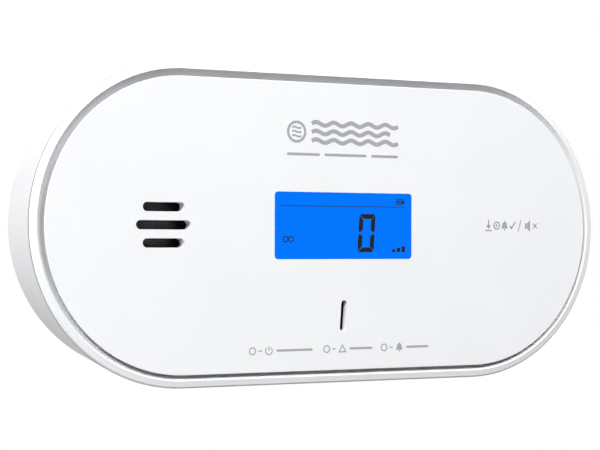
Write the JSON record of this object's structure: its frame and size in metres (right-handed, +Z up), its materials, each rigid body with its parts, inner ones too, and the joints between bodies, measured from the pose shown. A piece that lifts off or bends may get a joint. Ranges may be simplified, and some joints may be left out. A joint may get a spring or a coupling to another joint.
{
  "type": "carbon monoxide alarm",
  "caption": "Slim wall-mounted carbon monoxide alarm: stadium case, floating face plate that is the test button, blue display, slotted sounder, hinged rear battery door and keyholes.",
  "frame": {"origin": "middle of the case's rear plane, which lies on the wall, midway between the two keyholes", "axes": "+X to the right as seen from the front, +Z up the wall, the face looks along -Y"},
  "size_m": [0.1474, 0.024, 0.071],
  "materials": {
    "case_plastic": "fine satin moulded ABS, cool white",
    "face_plastic": "smooth satin moulded ABS, cool white",
    "door_plastic": "fine-grained moulded ABS, cool white",
    "window_acrylic": "clear polished acrylic",
    "smoked_acrylic": "dark smoked translucent acrylic",
    "lcd_glass": "polarised liquid crystal glass",
    "lcd_light": "light guide glowing blue",
    "white_plastic": "white moulded plastic",
    "black_plastic": "black moulded plastic",
    "board_laminate": "glass fibre laminate with green solder mask",
    "screen_mesh": "black woven insect mesh",
    "steel": "bright zinc plated steel",
    "tinned": "tinned metal",
    "gold_plate": "gold plated wire",
    "brass": "rolled brass sheet",
    "ceramic": "fired piezo ceramic with silvered face",
    "ferrite": "dark ferrite and varnish",
    "chip_ceramic": "chip parts with tinned ends",
    "led_lens": "clear epoxy over a yellowish body",
    "cell_jacket": "printed cell jacket in two plain colours",
    "label_film": "matt label film"
  },
  "bodies": {
    "case": {"rear_housing": "case_plastic", "front_bezel": "case_plastic", "insect_screen": "screen_mesh", "light_pipe": "smoked_acrylic", "lcd_cell": "lcd_glass", "lcd_backlight": "lcd_light", "lcd_frame": "white_plastic", "lcd_pins": "tinned", "main_board": "board_laminate", "microcontroller": "black_plastic", "chip_parts": "chip_ceramic", "capacitors": "black_plastic", "inductor": "ferrite", "status_leds": "led_lens", "test_switch": "steel", "co_sensor": "steel", "co_sensor_cap": "white_plastic", "co_sensor_pins": "gold_plate", "sounder_housing": "black_plastic", "sounder_disc": "brass", "sounder_ceramic": "ceramic", "sounder_ring": "black_plastic", "sounder_contacts": "gold_plate", "battery_1": "cell_jacket", "battery_2": "cell_jacket", "battery_3": "cell_jacket", "contact_springs": "tinned", "contact_plates": "tinned", "case_screws": "steel", "board_screws": "steel", "rating_label": "label_film"},
    "face": {"face_plate": "face_plastic", "display_window": "window_acrylic"},
    "plunger": {"test_plunger": "black_plastic"},
    "door": {"battery_door": "door_plastic"}
  },
  "joints": [
    {"name": "face_press", "type": "hinge", "parent": "case", "child": "face", "pos_m": [-0.066, -0.02088, 0], "axis": [0, 0, 1], "range_deg": [0, 0.249], "stiffness_Nm_per_rad": 40},
    {"name": "plunger_travel", "type": "slide", "parent": "case", "child": "plunger", "axis": [0, 1, 0], "range_m": [0, 0.0005]},
    {"name": "door_hinge", "type": "hinge", "parent": "case", "child": "door", "pos_m": [0.0452, -0.0017, 0], "axis": [0, 0, -1], "range_deg": [0, 90]}
  ],
  "couplings": [
    {"joint": "plunger_travel", "follows": "face_press", "m_per_rad": 0.115}
  ]
}
